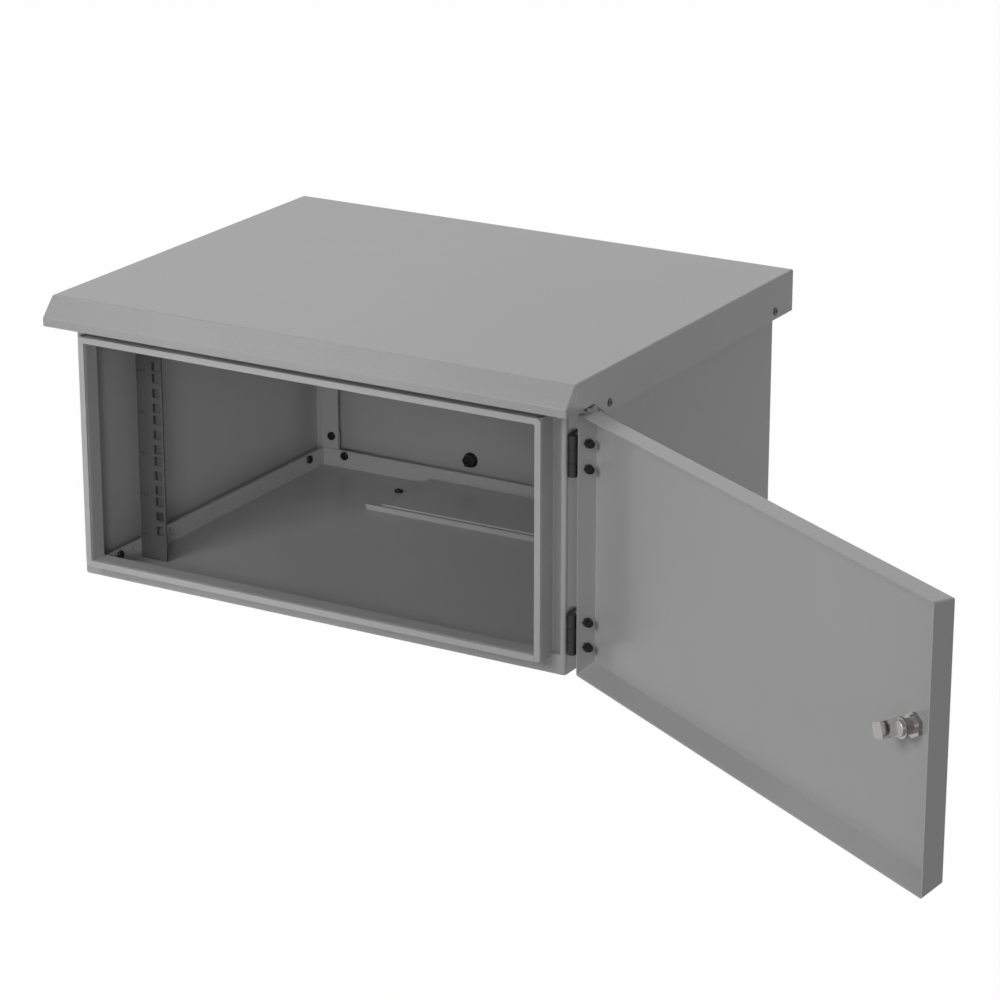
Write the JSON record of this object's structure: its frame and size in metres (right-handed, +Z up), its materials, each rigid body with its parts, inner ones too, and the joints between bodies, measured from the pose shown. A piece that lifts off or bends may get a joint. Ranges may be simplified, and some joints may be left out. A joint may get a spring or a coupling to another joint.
{
  "type": "outdoor rack cabinet",
  "caption": "Small outdoor wall cabinet for 19 inch rack equipment, with an overhanging rain hood, a sealed hinged door with a cam lock, rack rails and a covered cable entry.",
  "frame": {"origin": "centre of the body's base, on its underside", "axes": "+Z up, the door side faces -Y, +X to the right seen from the front"},
  "size_m": [1.0912, 0.7494, 0.298],
  "materials": {
    "body_paint": "fine orange-peel powder coat",
    "hood_paint": "fine orange-peel powder coat",
    "door_paint": "fine orange-peel powder coat",
    "rail_paint": "dark grey powder coat",
    "black_steel": "black oxide",
    "hinge_black": "satin black powder coat",
    "nickel": "bright nickel plate",
    "seal_rubber": "light grey closed-cell strip",
    "foam": "light grey cellular foam"
  },
  "bodies": {
    "cabinet": {"left_side_panel": "body_paint", "right_side_panel": "body_paint", "back_panel": "body_paint", "floor_tray": "body_paint", "top_tray": "body_paint", "rain_hood": "hood_paint", "hood_bracket_front_left": "body_paint", "hood_bracket_front_right": "body_paint", "hood_bracket_rear_left": "body_paint", "hood_bracket_rear_right": "body_paint", "hood_screws": "black_steel", "bracket_screws": "black_steel", "door_seal": "seal_rubber", "left_rack_rail": "rail_paint", "right_rack_rail": "rail_paint", "rail_screws": "black_steel", "tray_screws": "black_steel", "back_screws": "black_steel", "gusset_screws": "black_steel", "lower_left_gusset": "body_paint", "lower_right_gusset": "body_paint", "upper_left_gusset": "body_paint", "upper_right_gusset": "body_paint", "cable_entry_cover": "body_paint", "cable_entry_foam": "foam", "cable_entry_screws": "black_steel", "wall_bolts": "black_steel", "wall_washers": "black_steel", "upper_hinge_body_leaf": "hinge_black", "lower_hinge_body_leaf": "hinge_black", "upper_hinge_pin": "hinge_black", "lower_hinge_pin": "hinge_black", "hinge_body_nuts": "black_steel"},
    "door": {"door_panel": "door_paint", "upper_hinge_door_leaf": "hinge_black", "lower_hinge_door_leaf": "hinge_black", "hinge_door_nuts": "black_steel", "lock_housing": "nickel", "lock_nut": "nickel"},
    "lock": {"lock_plug": "nickel", "lock_cam": "nickel", "lock_cam_nut": "nickel"}
  },
  "joints": [
    {"name": "door_hinge", "type": "hinge", "parent": "cabinet", "child": "door", "pos_m": [0.2888, -0.21755, 0.139], "axis": [0, 0, 1], "range_deg": [-149.45, 30]},
    {"name": "lock_turn", "type": "hinge", "parent": "door", "child": "lock", "pos_m": [0.75175, -0.4638, 0.139], "axis": [-0.5083, -0.8612, 0], "range_deg": [-20, 160]}
  ]
}
